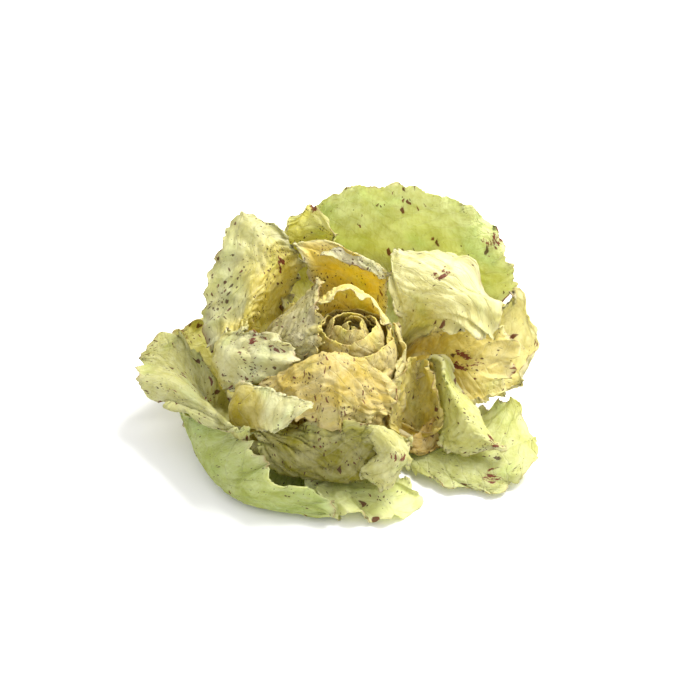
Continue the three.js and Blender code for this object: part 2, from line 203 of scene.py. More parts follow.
# Every leaf: its blade and the foot of its midrib, the place that its inner face looks
# towards, and its mesh: how far apart the vertices are, and the fewest and most to a side.
LEAF_THICKNESS = 0.55 * MM
RIB_THICKNESS = 3.0 * MM
HEAD_MIDDLE = np.array((5, -8, 75)) * MM
VERTEX_SPACING = 0.75 * MM
GRID_SIDES = (40, 180)


def on_curve(points, share):
    """The places at these shares, from 0 to 1, of a smooth curve through the points."""
    before = 2 * points[:1] - points[1:2]
    after = 2 * points[-1:] - points[-2:-1]
    points = np.concatenate([before, points, after])
    place = np.clip(share, 0, 1) * (len(points) - 3)
    start = np.minimum(place.astype(int), len(points) - 4)
    part = (place - start)[:, None]
    each = np.arange(len(share))
    a, b, c, d = (points[start + k, each] if points.ndim == 3 else points[start + k] for k in range(4))
    bend = (2 * a - 5 * b + 4 * c - d) * part + (3 * b - a - 3 * c + d) * part**2
    return b + 0.5 * part * (c - a + bend)


def on_leaf(lines, across, along):
    """Places on the smooth sheet through the lines of points across a leaf."""
    rows = np.array([on_curve(line, across) for line in lines])
    return on_curve(rows, along)


def length_of(points):
    """The length of the line through the points."""
    return np.linalg.norm(np.diff(points, axis=0), axis=1).sum()


def unit(ways):
    """The same directions, each of length 1."""
    return ways / np.maximum(np.linalg.norm(ways, axis=1), 1e-12)[:, None]


def grow_leaf(name, node, material, lines, seed, style, stains=()):
    """One leaf through the lines of points across it, from the foot to the tip, as a piece.

    The style says how far the margin ruffles and over what length (wave), how deep its teeth
    are, how far apart the side veins are (veins) and how high the skin swells between them
    (quilt), how it creases and lies, how round the corners are, how much it is specked (dots,
    dashes), and the colours of the heart, the body and the margin, with where the first turns
    to the second (turn) and how wide the last is (rim, in mm). A stain is a place and a size
    in mm, and a strength.
    """
    lines = np.array(lines, float)
    steps = np.linspace(0, 1, 25)
    down_middle = on_leaf(lines, np.full(25, 0.5), steps)
    over_middle = on_leaf(lines, steps, np.full(25, 0.6))
    reach, width = length_of(down_middle), length_of(over_middle)
    wayward = unit(np.cross(np.gradient(over_middle, axis=0), np.gradient(down_middle, axis=0)))
    inwards = unit(HEAD_MIDDLE - over_middle)
    if (wayward * inwards).sum() < 0:
        lines = lines[:, ::-1]

    # A flat grid, its vertices known by how far across and along the leaf they are.
    columns, rows = (int(np.clip(size / VERTEX_SPACING, *GRID_SIDES)) for size in (width, reach))
    bpy.ops.mesh.primitive_grid_add(x_subdivisions=columns, y_subdivisions=rows, size=1)
    leaf = bpy.context.object
    leaf.name = name
    flat = places_of(leaf.data)[:, :2] + 0.5

    # Seen from the foot of the midrib, each vertex lies on a ray to the margin.
    foot = np.array((0.5, -0.03))
    ray = flat - foot
    side, ahead = np.abs(ray[:, 0]) / 0.5, ray[:, 1] / (1 - foot[1])
    out = np.maximum(side, ahead)
    edge = foot + ray / np.maximum(out, 1e-6)[:, None]
    left, right = length_of(lines[:, 0]), length_of(lines[:, -1])
    top = length_of(lines[-1])
    on_side = side > ahead
    round_margin = np.where(on_side & (edge[:, 0] < 0.5), edge[:, 1] * left, left + edge[:, 0] * top)
    round_margin = np.where(on_side & (edge[:, 0] > 0.5), left + top + (1 - edge[:, 1]) * right, round_margin)
    ray_length = np.linalg.norm((edge - foot) * (width, reach), axis=1)
    past_foot = np.clip(np.minimum(round_margin, left + top + right - round_margin) / (18 * MM), 0, 1)

    # The outline: rounded corners, lobes and sharp teeth.
    power = style.get("corner", 14)
    rounded = (np.maximum(side, ahead) ** power / (side**power + ahead**power + 1e-9)) ** (1 / power)
    walk = round_margin[:, None]
    lobes = np.abs(wander(walk, 16 * MM, seed + 1)) * style["teeth"] * 0.8
    saw = np.abs((round_margin / (3.1 * MM) + 1.1 * wander(walk, 11 * MM, seed + 2)) % 1 - 0.5) * 2
    saw = saw * np.clip(0.75 + 0.6 * wander(walk, 9 * MM, seed + 3), 0.1, 1.4) * style["teeth"]
    cut = (lobes + saw * 0.75) * past_foot
    scale = rounded * (1 - cut / ray_length)
    moved = foot + ray * (1 - (1 - scale) * out**5)[:, None]
    across, along = moved[:, 0], np.clip(moved[:, 1], 0, 1)

    # The sheet itself, with its directions there.
    places = on_leaf(lines, across, along)
    step = 0.004
    over = on_leaf(lines, across + step, along) - on_leaf(lines, across - step, along)
    down = on_leaf(lines, across, along + step) - on_leaf(lines, across, along - step)
    normal = unit(np.cross(over, down))
    outwards = unit(over * ray[:, :1] + down * ray[:, 1:])
    round_way = np.cross(normal, outwards)
    from_margin = (1 - out) * ray_length + 0.2 * MM

    # Ruffles that grow towards the margin and lean over, and a finer frill at the margin.
    ruffle, wave = style["ruffle"], style["wave"]
    near = np.exp(-from_margin / (1.1 * wave)) * past_foot
    rise = np.tanh(1.5 * wander(walk, wave * 1.6, seed + 4))
    lean = wander(walk, wave * 1.3, seed + 5)
    frill = wander(np.column_stack([round_margin, from_margin * 0.35]), wave * 0.55, seed + 6)
    near_rim = np.exp(-from_margin / (4 * MM)) * past_foot
    shift = normal * (ruffle * (near * rise + 0.4 * near_rim * frill))[:, None]
    shift += round_way * (0.55 * ruffle * near * lean)[:, None]
    shift += outwards * (0.3 * ruffle * near * wander(walk, wave, seed + 7))[:, None]

    # Quilting between the side veins, which leave the midrib at a slant.
    x, y = (across - 0.5) * width, along * reach
    sheet = np.column_stack([x, y])
    vein = (y - 0.85 * np.abs(x)) / style["veins"] + 0.5 * wander(sheet, 26 * MM, seed + 8)
    cross_vein = np.abs(x) / (7 * MM) + 0.8 * wander(sheet, 14 * MM, seed + 9)
    quilt = np.abs(np.sin(math.pi * vein)) ** 0.7 * (0.6 + 0.4 * np.abs(np.sin(math.pi * cross_vein)) ** 0.7)
    grown = np.clip(along * 3, 0, 1)
    uneven = 1 + 0.5 * wander(sheet, 12 * MM, seed + 10)
    shift += normal * (style["quilt"] * quilt * grown * uneven)[:, None]

    # Creases and an uneven lie.
    crease = 1 - np.minimum(np.abs(wander(places, 21 * MM, seed + 11)) * 2.2, 1)
    fine_crease = 1 - np.minimum(np.abs(wander(places, 9 * MM, seed + 12)) * 2.2, 1)
    finest = 1 - np.minimum(np.abs(wander(places, 4.5 * MM, seed + 15)) * 2, 1)
    creases = crease + 0.45 * fine_crease + 0.16 * finest
    shift += normal * (style["crease"] * grown * creases)[:, None]
    shift += normal * (style.get("lie", 1.2 * MM) * grown * wander(places, 42 * MM, seed + 13))[:, None]

    # The midrib: a broad pale channel at the foot that narrows towards the tip.
    rib_width = (5.5 - 4.3 * np.clip(along, 0, 1) ** 0.6) * MM
    rib = np.exp(-((x / rib_width) ** 2)) * np.clip(1.1 - 1.6 * along, 0, 1)
    shift -= normal * (1.6 * MM * rib * np.clip(along * 5, 0, 1))[:, None]

    # Where the leaf would sink into the table it settles flat on it instead.
    settled = places + shift
    height = settled[:, 2]
    settled[:, 2] = np.where(height < 2 * MM, MM + MM * np.exp(np.minimum(height - 2 * MM, 0) / MM), height)
    move_to(leaf.data, settled)

    # The blade is thin and the foot of the midrib is thick, on its underside.
    thick = leaf.vertex_groups.new(name="thickness")
    firmness = np.clip(rib * (1 - along) ** 1.5, 0, 1)
    for level in range(1, 21):
        members = np.flatnonzero(np.round(firmness * 20) == level)
        if len(members):
            thick.add(members.tolist(), level / 20, "REPLACE")
    layers = leaf.data.uv_layers[0].data
    corners = np.empty(len(leaf.data.loops), int)
    leaf.data.loops.foreach_get("vertex_index", corners)
    layers.foreach_set("uv", np.column_stack([x, y])[corners].ravel())

    # What the material needs to know at each place: the colour of the tissue, with painted shade deepening it
    # towards the foot, how near the midrib and the margin are, and where burgundy has run together into
    # stains.
    # The colour runs from the heart colour at the foot to the body colour. The foot's deeper ochre is partly
    # the leaf's own yellow and partly painted shade and inter-reflected light from deep in the head.
    heart, body, margin = (np.array(shade(*style[part])[:3]) for part in ("heart", "body", "margin"))
    turn_from, turn_to = style.get("turn", (0.0, 0.7))
    turned = along + 0.06 * wander(places, 30 * MM, seed + 14)
    share = np.interp(turned, [turn_from, turn_to], [0, 1])[:, None]
    colour = heart + (body - heart) * share
    edge_share = np.exp(-from_margin / (style.get("rim", 8) * MM))[:, None] * past_foot[:, None]
    colour = colour + (margin - colour) * edge_share
    stained = np.zeros(len(places))
    for stain_x, stain_y, stain_z, size, strength in stains:
        gap = np.linalg.norm(places - np.array((stain_x, stain_y, stain_z)) * MM, axis=1)
        stained = np.maximum(stained, strength * np.exp(-((gap / (size * MM)) ** 2)))
    tint = leaf.data.color_attributes.new("tissue_and_depth_shade", "FLOAT_COLOR", "POINT")
    tint.data.foreach_set("color", np.column_stack([colour, np.ones(len(colour))]).ravel())
    brink = np.exp(-from_margin / (1.3 * MM)) * past_foot
    drift = 1 + 0.5 * wander(places, 24 * MM, seed + 16)
    dots = (style.get("dots", 0.25) * (1 + 1.5 * edge_share[:, 0])) * drift
    dashes = (style.get("dashes", 0.15) * (1 + 0.8 * edge_share[:, 0])) * drift
    known = {"rib": rib, "brink": brink, "stain": stained, "dots": dots, "dashes": dashes}
    for label, values in known.items():
        attribute = leaf.data.attributes.new(label, "FLOAT", "POINT")
        attribute.data.foreach_set("value", values)

    wall = leaf.modifiers.new("wall", "SOLIDIFY")
    wall.thickness = RIB_THICKNESS
    wall.offset = -1
    wall.vertex_group = "thickness"
    wall.thickness_vertex_group = LEAF_THICKNESS / RIB_THICKNESS
    bpy.ops.object.modifier_apply(modifier="wall")
    bpy.ops.object.shade_smooth()
    leaf.data.materials.append(material)
    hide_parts(node)
    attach(leaf, "root")
    bpy.ops.object.select_all(action="DESELECT")
    return leaf


def add_group_sockets(group, inputs, outputs):
    """Gives a node group its named inputs, with their first values, and its outputs."""
    for name, kind, value in inputs:
        socket = group.interface.new_socket(name, in_out="INPUT", socket_type=kind)
        if value is not None:
            socket.default_value = value
    for name, kind in outputs:
        group.interface.new_socket(name, in_out="OUTPUT", socket_type=kind)
    return group.nodes.new("NodeGroupInput"), group.nodes.new("NodeGroupOutput")


# Specks: burgundy spots and short dashes, of uneven size, that gather in drifts.
specks = bpy.data.node_groups.new("burgundy specks", "ShaderNodeTree")
taken, given = add_group_sockets(
    specks,
    [("Vector", "NodeSocketVector", None), ("Per Metre", "NodeSocketFloat", 300.0),
     ("Length", "NodeSocketFloat", 2.0), ("Share", "NodeSocketFloat", 0.4)],
    [("Mask", "NodeSocketFloat"), ("Tone", "NodeSocketFloat")],
)
bent = add(specks, "ShaderNodeTexNoise", {"Vector": taken.outputs["Vector"], "Scale": 130.0, "Detail": 1.0})
bent = add(specks, "ShaderNodeVectorMath", {0: bent.outputs["Color"], 1: (0.006, 0.006, 0.0),
                                            2: taken.outputs["Vector"]}, operation="MULTIPLY_ADD").outputs[0]
parts = add(specks, "ShaderNodeSeparateXYZ", {0: bent})
squeezed = calculate(specks, "DIVIDE", parts.outputs["Y"], taken.outputs["Length"])
bent = add(specks, "ShaderNodeCombineXYZ", {"X": parts.outputs["X"], "Y": squeezed}).outputs[0]
cells = add(specks, "ShaderNodeTexVoronoi", {"Vector": bent, "Scale": taken.outputs["Per Metre"]},
            voronoi_dimensions="2D")
chance = add(specks, "ShaderNodeSeparateColor", {0: cells.outputs["Color"]}).outputs
drift = add(specks, "ShaderNodeTexNoise", {"Vector": taken.outputs["Vector"], "Scale": 55.0, "Detail": 2.0})
drifting = spread(specks, drift.outputs["Fac"], 0.42, 0.68)
drifting = calculate(specks, "MULTIPLY_ADD", drifting, 1.6, 0.12)
wanted = calculate(specks, "MULTIPLY", taken.outputs["Share"], drifting)
kept = calculate(specks, "LESS_THAN", chance[0], wanted)
size = calculate(specks, "MULTIPLY_ADD", calculate(specks, "POWER", chance[1], 2.0), 0.34, 0.09)
ragged = add(specks, "ShaderNodeTexNoise", {"Vector": bent, "Scale": 2400.0, "Detail": 1.0}).outputs["Fac"]
gap = calculate(specks, "SUBTRACT", cells.outputs["Distance"], 0.15)
gap = calculate(specks, "MULTIPLY_ADD", ragged, 0.3, gap)
soft = calculate(specks, "SUBTRACT", 1.0, spread(specks, gap, calculate(specks, "MULTIPLY", size, 0.6), size))
specks.links.new(calculate(specks, "MULTIPLY", soft, kept), given.inputs["Mask"])
specks.links.new(chance[2], given.inputs["Tone"])

# Veins: the side veins that leave the midrib at a slant, and the net between them.
veins = bpy.data.node_groups.new("leaf veins", "ShaderNodeTree")
taken, given = add_group_sockets(
    veins,
    [("Vector", "NodeSocketVector", None), ("Pitch", "NodeSocketFloat", 0.011)],
    [("Veins", "NodeSocketFloat"), ("Net", "NodeSocketFloat")],
)
parts = add(veins, "ShaderNodeSeparateXYZ", {0: taken.outputs["Vector"]}).outputs
sway = add(veins, "ShaderNodeTexNoise", {"Vector": taken.outputs["Vector"], "Scale": 60.0, "Detail": 2.0})
slant = calculate(veins, "MULTIPLY_ADD", calculate(veins, "ABSOLUTE", parts["X"]), -0.85, parts["Y"])
slant = calculate(veins, "DIVIDE", slant, taken.outputs["Pitch"])
slant = calculate(veins, "MULTIPLY_ADD", sway.outputs["Fac"], 1.1, slant)
saw = calculate(veins, "ABSOLUTE", calculate(veins, "SUBTRACT", calculate(veins, "FRACT", slant), 0.5))
veins.links.new(calculate(veins, "SUBTRACT", 1.0, spread(veins, saw, 0.02, 0.075)), given.inputs["Veins"])
bent = add(veins, "ShaderNodeVectorMath", {0: sway.outputs["Color"], 1: (0.01, 0.01, 0.0),
                                           2: taken.outputs["Vector"]}, operation="MULTIPLY_ADD").outputs[0]
net = add(veins, "ShaderNodeTexVoronoi", {"Vector": bent, "Scale": 260.0}, voronoi_dimensions="2D",
          feature="DISTANCE_TO_EDGE")
net = calculate(veins, "SUBTRACT", 1.0, spread(veins, net.outputs["Distance"], 0.0, 0.12))
veins.links.new(net, given.inputs["Net"])


def leaf_material(name, dashes_per_metre, dash_length, crumple, see_through):
    """The skin of a leaf: its tissue colour with painted shade towards the foot, mottled, veined, specked,
    stained and creased.
    """
    material, tree = new_material(name)
    where = add(tree, "ShaderNodeUVMap").outputs[0]
    tissue_and_depth_shade = add(tree, "ShaderNodeAttribute", attribute_name="tissue_and_depth_shade").outputs["Color"]
    known = {part: add(tree, "ShaderNodeAttribute", attribute_name=part).outputs["Fac"]
             for part in ("rib", "brink", "stain", "dots", "dashes")}

    mottle = add(tree, "ShaderNodeTexNoise", {"Vector": where, "Scale": 75.0, "Detail": 4.0,
                                              "Roughness": 0.6})
    fine = add(tree, "ShaderNodeTexNoise", {"Vector": where, "Scale": 900.0, "Detail": 3.0}).outputs["Fac"]
    crumpled = {"Vector": where, "Scale": 140.0, "Detail": 4.0, "Roughness": 0.5, "Distortion": 0.6}
    creases = add(tree, "ShaderNodeTexNoise", crumpled, noise_type="RIDGED_MULTIFRACTAL").outputs["Fac"]
    lighter = blend_colours(tree, 0.24, tissue_and_depth_shade, (1.0, 1.0, 0.78, 1.0))
    deeper = blend_colours(tree, 0.36, tissue_and_depth_shade, (0.68, 0.64, 0.3, 1.0), "MULTIPLY")
    skin = blend_colours(tree, spread(tree, mottle.outputs["Fac"], 0.32, 0.68), deeper, lighter)

    greener = add(tree, "ShaderNodeTexNoise", {"Vector": where, "Scale": 30.0, "Detail": 2.0}).outputs["Fac"]
    greener = calculate(tree, "MULTIPLY", spread(tree, greener, 0.48, 0.7), 0.45)
    skin = blend_colours(tree, greener, skin, (0.82, 0.97, 0.76, 1.0), "MULTIPLY")

    fibres = add(tree, "ShaderNodeVectorMath", {0: mottle.outputs["Color"], 1: (0.012, 0.0, 0.0),
                                                2: where}, operation="MULTIPLY_ADD").outputs[0]
    fibres = add(tree, "ShaderNodeMapping", {"Vector": fibres, "Scale": (1.0, 0.16, 1.0)}).outputs[0]
    fibres = add(tree, "ShaderNodeTexNoise", {"Vector": fibres, "Scale": 620.0, "Detail": 3.0}).outputs["Fac"]
    streaked = blend_colours(tree, 0.24, skin, (0.72, 0.66, 0.36, 1.0), "MULTIPLY")
    skin = blend_colours(tree, spread(tree, fibres, 0.36, 0.6), streaked, skin)

    vein = add(tree, "ShaderNodeGroup", {}, node_tree=veins)
    tree.links.new(where, vein.inputs["Vector"])
    vein_light = calculate(tree, "MULTIPLY", vein.outputs["Net"], 0.05)
    vein_light = calculate(tree, "MULTIPLY_ADD", vein.outputs["Veins"], 0.1, vein_light)
    vein_light = calculate(tree, "MULTIPLY_ADD", spread(tree, known["rib"], 0.3, 1.1), 0.9, vein_light)
    skin = blend_colours(tree, vein_light, skin, shade(240, 236, 205))

    wash = calculate(tree, "MULTIPLY", known["dots"], spread(tree, mottle.outputs["Fac"], 0.4, 0.65))
    skin = blend_colours(tree, calculate(tree, "MULTIPLY", wash, 0.3), skin, shade(150, 134, 108))
    dots = add(tree, "ShaderNodeGroup", {}, node_tree=specks)
    tree.links.new(where, dots.inputs["Vector"])
    tree.links.new(known["dots"], dots.inputs["Share"])
    dots.inputs["Per Metre"].default_value = 640.0
    dots.inputs["Length"].default_value = 1.9
    dot_colour = blend_colours(tree, dots.outputs["Tone"], shade(74, 62, 34), shade(96, 46, 34))
    skin = blend_colours(tree, calculate(tree, "MULTIPLY", dots.outputs["Mask"], 0.85), skin, dot_colour)

    dashes = add(tree, "ShaderNodeGroup", {}, node_tree=specks)
    tree.links.new(where, dashes.inputs["Vector"])
    tree.links.new(known["dashes"], dashes.inputs["Share"])
    dashes.inputs["Per Metre"].default_value = dashes_per_metre
    dashes.inputs["Length"].default_value = dash_length
    dash_colour = blend_colours(tree, dashes.outputs["Tone"], shade(82, 50, 28), shade(118, 36, 28))
    skin = blend_colours(tree, calculate(tree, "MULTIPLY", dashes.outputs["Mask"], 0.85), skin, dash_colour)

    torn = add(tree, "ShaderNodeMapping", {"Vector": where, "Rotation": (0, 0, 0.5),
                                           "Scale": (1.0, 0.4, 1.0)}).outputs[0]
    torn = add(tree, "ShaderNodeTexNoise", {"Vector": torn, "Scale": 330.0, "Detail": 4.0,
                                            "Roughness": 0.65})
    patch = calculate(tree, "MULTIPLY_ADD", known["stain"], 0.33, torn.outputs["Fac"])
    patch = spread(tree, patch, 0.76, 0.82)
    stain_colour = blend_colours(tree, fine, shade(88, 30, 24), shade(150, 50, 40))
    skin = blend_colours(tree, calculate(tree, "MULTIPLY", patch, 0.9), skin, stain_colour)
    dry = calculate(tree, "MULTIPLY", known["brink"], spread(tree, mottle.outputs["Fac"], 0.45, 0.62))
    skin = blend_colours(tree, calculate(tree, "MULTIPLY", dry, 0.75), skin, shade(156, 112, 60))

    relief = calculate(tree, "MULTIPLY", fine, 0.3)
    relief = calculate(tree, "MULTIPLY_ADD", vein.outputs["Net"], -0.12, relief)
    relief = calculate(tree, "MULTIPLY_ADD", vein.outputs["Veins"], -0.3, relief)
    relief = calculate(tree, "MULTIPLY_ADD", mottle.outputs["Fac"], 1.2, relief)
    relief = calculate(tree, "MULTIPLY_ADD", creases, crumple, relief)
    relief = calculate(tree, "MULTIPLY_ADD", fibres, 0.4, relief)
    bump = add(tree, "ShaderNodeBump", {"Height": relief, "Strength": 0.9, "Distance": 0.0009}).outputs[0]
    gloss = calculate(tree, "MULTIPLY_ADD", fine, 0.2, 0.34)
    surface = add(tree, "ShaderNodeBsdfPrincipled", {"Base Color": skin, "Roughness": gloss, "Normal": bump,
                                                     "Specular IOR Level": 0.35})
    through = blend_colours(tree, 1.0, skin, (1.0, 1.0, 0.84, 1.0), "MULTIPLY")
    glow = add(tree, "ShaderNodeBsdfTranslucent", {"Color": through, "Normal": bump})
    both = add(tree, "ShaderNodeMixShader", {0: see_through, 1: surface.outputs[0], 2: glow.outputs[0]})
    add(tree, "ShaderNodeOutputMaterial", {"Surface": both.outputs[0]})
    return material


bud_material = leaf_material(
    "blanched leaf", dashes_per_metre=560.0, dash_length=5.0, crumple=0.9, see_through=0.4)
BUD_STYLE = {
    "ruffle": 0.9 * MM, "wave": 13 * MM, "teeth": 0.6 * MM, "veins": 9 * MM, "quilt": 0.4 * MM,
    "crease": 1.0 * MM, "corner": 6, "rim": 3, "dots": 0.1, "dashes": 0.45, "lie": 0.7 * MM,
    "heart": (232, 208, 80), "body": (212, 192, 112), "margin": (248, 236, 130),
}
BUD_STAIN = (13, -39, 66, 7, 0.9)
for index in range(BUD_LEAVES):
    radius = BUD_RADIUS - BUD_RADIUS_STEP * index
    half_height = BUD_HALF_HEIGHT - BUD_HEIGHT_STEP * index
    from_top = BUD_FROM_TOP - BUD_FROM_TOP_STEP * index
    lines = []
    for along in np.linspace(0, 1, 7):
        polar = math.radians(BUD_FROM_BOTTOM + (from_top - BUD_FROM_BOTTOM) * along)
        half_span = math.radians(BUD_HALF_SPAN - BUD_NARROWING * along**2)
        angles = math.radians(BUD_FIRST_AZIMUTH + BUD_TURN * index) + half_span * np.linspace(-1, 1, 9)
        over = radius * math.sin(polar)
        up = half_height * math.cos(polar)
        lines.append([BUD + (over * math.cos(angle), over * math.sin(angle), up) for angle in angles])
    node = f"bud_leaf_{index + 1}"
    seed = 100 + 20 * index
    grow_leaf(node + "_sheet", node, bud_material, lines, seed, BUD_STYLE, [BUD_STAIN])


def foot_on_stem(azimuth, height, foot, toward):
    """The line of five points where a leaf leaves the stem, in the same order as the next."""
    rise = height * MM
    radius = STEM_RADIUS + (STEM_TOP_RADIUS - STEM_RADIUS) * rise / STEM_SHOULDER
    angles = math.radians(azimuth) + foot * MM / radius / 2 * np.linspace(-1, 1, 5)
    line = np.column_stack([
        STEM_LEAN[0] * rise + (radius - 1.5 * MM) * np.cos(angles),
        STEM_LEAN[1] * rise + (radius - 1.5 * MM) * np.sin(angles),
        np.full(5, rise),
    ])
    straight = np.linalg.norm(line[0] - toward[0]) + np.linalg.norm(line[-1] - toward[-1])
    crossed = np.linalg.norm(line[-1] - toward[0]) + np.linalg.norm(line[0] - toward[-1])
    return line[::-1] if crossed < straight else line


def add_leaf(ring, name, azimuth, height, lines, seed, changes=None, stains=()):
    """One leaf of a ring, from its foot on the stem and its lines of points in millimetres."""
    lines = np.array(lines, float) * MM
    lines = np.concatenate([[foot_on_stem(azimuth, height, ring["foot"], lines[0])], lines])
    style = {**ring["style"], **(changes or {})}
    return grow_leaf(name + "_sheet", name, ring["material"], lines, seed, style, stains)


# ---- Inner leaves ----
# Four blanched leaves wrapped loosely round the bud. They grew folded against it, so they
# are crumpled all over and their margins are frilled. Each one's foot clasps the stem.
inner_material = leaf_material(
    "inner leaf", dashes_per_metre=520.0, dash_length=4.5, crumple=1.2, see_through=0.42)
INNER = {
    "foot": 9, "slot": "inner_leaf", "material": inner_material,
    "style": {
        "ruffle": 3.2 * MM, "wave": 10 * MM, "teeth": 1.8 * MM, "veins": 10 * MM, "quilt": 0.9 * MM,
        "crease": 1.3 * MM,
    },
}

add_leaf(INNER, "inner_leaf_right", 330, 19, [
    [(24, -44, 22), (30, -37, 22), (34, -26, 24), (37, -12, 28), (36, 2, 34)],
    [(30, -44, 34), (34, -36, 35), (37, -26, 37), (39, -13, 40), (36, 1, 46)],
    [(30, -42, 42), (34, -34, 44), (37, -24, 47), (38, -13, 51), (35, 0, 60)],
    [(28, -39, 47), (32, -32, 50), (35, -22, 54), (36, -12, 60), (32, 0, 70)],
], 1020, {
    "heart": (226, 200, 90), "body": (222, 206, 124), "margin": (240, 228, 160),
    "crease": 0.4 * MM, "ruffle": 1.6 * MM, "dots": 0.3, "dashes": 0.25,
})
add_leaf(INNER, "inner_leaf_back", 60, 21, [
    [(-14, 10, 36), (-2, 15, 36), (10, 17, 36), (22, 14, 36), (31, 8, 36)],
    [(-18, 6, 56), (-4, 14, 58), (10, 17, 58), (24, 12, 56), (33, 2, 54)],
    [(-11, 3, 76), (-3, 8, 80), (9, 9, 82), (23, 2, 79), (33, -12, 71)],
    [(-9, -4, 79), (-1, -2, 84), (9, 0, 86), (20, -4, 83), (29, -18, 73)],
], 1040, {
    "heart": (250, 226, 84), "body": (250, 232, 120), "margin": (250, 242, 184),
    "ruffle": 1.8 * MM, "crease": 0.8 * MM, "dots": 0.12, "dashes": 0.2,
})
add_leaf(INNER, "inner_leaf_left", 182, 20, [
    [(-25, -29, 32), (-38, -17, 32), (-44, 1, 32), (-41, 17, 36), (-30, 28, 41)],
    [(-22, -33, 52), (-31, -28, 54), (-38, -11, 55), (-33, 11, 58), (-21, 25, 60)],
    [(-13, -35, 67), (-19, -31, 70), (-22, -19, 73), (-17, 4, 75), (-10, 22, 74)],
    [(-6, -34, 76), (-8, -31, 80), (-9, -22, 85), (-11, -3, 85), (-8, 25, 80)],
], 1060, {
    "heart": (214, 200, 104), "body": (206, 198, 142), "margin": (240, 226, 136), "rim": 4,
    "crease": 1.0 * MM, "dots": 0.8, "dashes": 0.1,
})
add_leaf(INNER, "inner_leaf_front", 262, 17, [
    [(-26, -46, 20), (-14, -50, 19), (0, -51, 19), (13, -50, 20), (26, -45, 22)],
    [(-33, -44, 40), (-19, -49, 46), (-2, -50, 47), (15, -48, 45), (29, -42, 38)],
    [(-37, -43, 59), (-22, -44, 69), (-3, -42, 73), (14, -42, 70), (28, -38, 56)],
    [(-42, -54, 52), (-23, -57, 63), (-3, -59, 64), (14, -57, 59), (30, -47, 46)],
    [(-40, -58, 46), (-20, -66, 49), (-2, -69, 43), (14, -65, 44), (27, -53, 42)],
], 1080, {
    "heart": (222, 196, 88), "body": (222, 198, 100), "margin": (234, 218, 134),
    "crease": 1.2 * MM, "dots": 0.35, "dashes": 0.45,
})

# ---- Middle leaves ----
# Half-open leaves, folded over one another and over their neighbours. The blade is thin and
# quilted between its veins, and the margin is longer than the leaf, so that it ruffles.
middle_material = leaf_material(
    "middle leaf", dashes_per_metre=360.0, dash_length=2.6, crumple=0.8, see_through=0.5)
MIDDLE = {
    "foot": 9, "slot": "middle_leaf", "material": middle_material,
    "style": {
        "ruffle": 3.2 * MM, "wave": 12 * MM, "teeth": 2.4 * MM, "veins": 11 * MM, "quilt": 0.7 * MM,
        "crease": 0.9 * MM,
    },
}

add_leaf(MIDDLE, "middle_leaf_pocket", 318, 15, [
    [(34, -45, 20), (37, -42, 15), (42, -40, 13), (47, -40, 15), (51, -41, 19)],
    [(28, -48, 32), (34, -36, 16), (43, -30, 10), (52, -32, 13), (60, -40, 26)],
    [(31, -38, 40), (37, -26, 26), (45, -20, 20), (53, -22, 23), (59, -32, 35)],
    [(36, -26, 49), (41, -15, 36), (46, -11, 31), (51, -14, 35), (55, -24, 47)],
    [(42, -12, 52), (44, -7, 45), (46, -5, 42), (49, -7, 45), (51, -13, 49)],
], 1100, {
    "heart": (222, 196, 66), "body": (230, 216, 110), "margin": (240, 226, 140),
    "turn": (0.3, 0.6), "ruffle": 1.5 * MM, "dots": 0.15, "dashes": 0.1,
}, stains=[(34, -34, 42, 9, 1.0)])
add_leaf(MIDDLE, "middle_leaf_pocket_flap", 300, 9, [
    [(33, -38, 8), (38, -38, 8), (43, -37, 8), (48, -36, 8), (53, -35, 9)],
    [(40, -48, 10), (45, -50, 9), (51, -50, 9), (56, -47, 9), (60, -42, 9)],
    [(40, -42, 15), (45, -40, 19), (50, -37, 21), (54, -32, 23), (59, -30, 16)],
], 1120, {
    "heart": (216, 182, 72), "body": (222, 192, 96), "margin": (232, 206, 124),
    "ruffle": 1.5 * MM, "dots": 0.15, "dashes": 0.15,
})
add_leaf(MIDDLE, "middle_leaf_ridge", 345, 13, [
    [(50, 0, 38), (52, -4, 41), (55, -6, 43), (58, -3, 41), (60, 3, 38)],
    [(56, -19, 28), (58, -23, 37), (61, -26, 44), (67, -22, 38), (71, -17, 28)],
    [(57, -36, 19), (63, -40, 28), (70, -44, 36), (78, -37, 30), (82, -32, 20)],
    [(58, -51, 15), (67, -53, 19), (78, -55, 28), (88, -52, 24), (90, -50, 19)],
    [(69, -54, 13), (80, -57, 16), (91, -59, 20), (95, -55, 20), (95, -50, 19)],
], 1140, {
    "heart": (224, 224, 128), "body": (228, 228, 146), "margin": (246, 242, 190),
    "ruffle": 2.0 * MM, "dots": 0.3, "dashes": 0.1,
}, stains=[(88, -53, 24, 7, 1.0)])
add_leaf(MIDDLE, "middle_leaf_right_cup", 10, 11, [
    [(50, -12, 37), (48, 0, 34), (46, 10, 34), (45, 16, 36), (45, 20, 40)],
    [(61, -18, 29), (59, -4, 28), (58, 6, 32), (59, 14, 40), (63, 18, 50)],
    [(77, -22, 24), (76, -14, 27), (76, -4, 36), (79, 4, 46), (84, 12, 56)],
    [(91, -17, 28), (98, -11, 28), (103, -3, 33), (104, 4, 42), (99, 10, 53)],
], 1160, {
    "heart": (238, 208, 70), "body": (236, 218, 104), "margin": (248, 242, 194), "rim": 14,
    "ruffle": 3.2 * MM, "wave": 11 * MM, "crease": 1.1 * MM, "dots": 0.12, "dashes": 0.12,
}, stains=[(74, 0, 36, 10, 1.0), (104, -2, 34, 9, 0.95)])
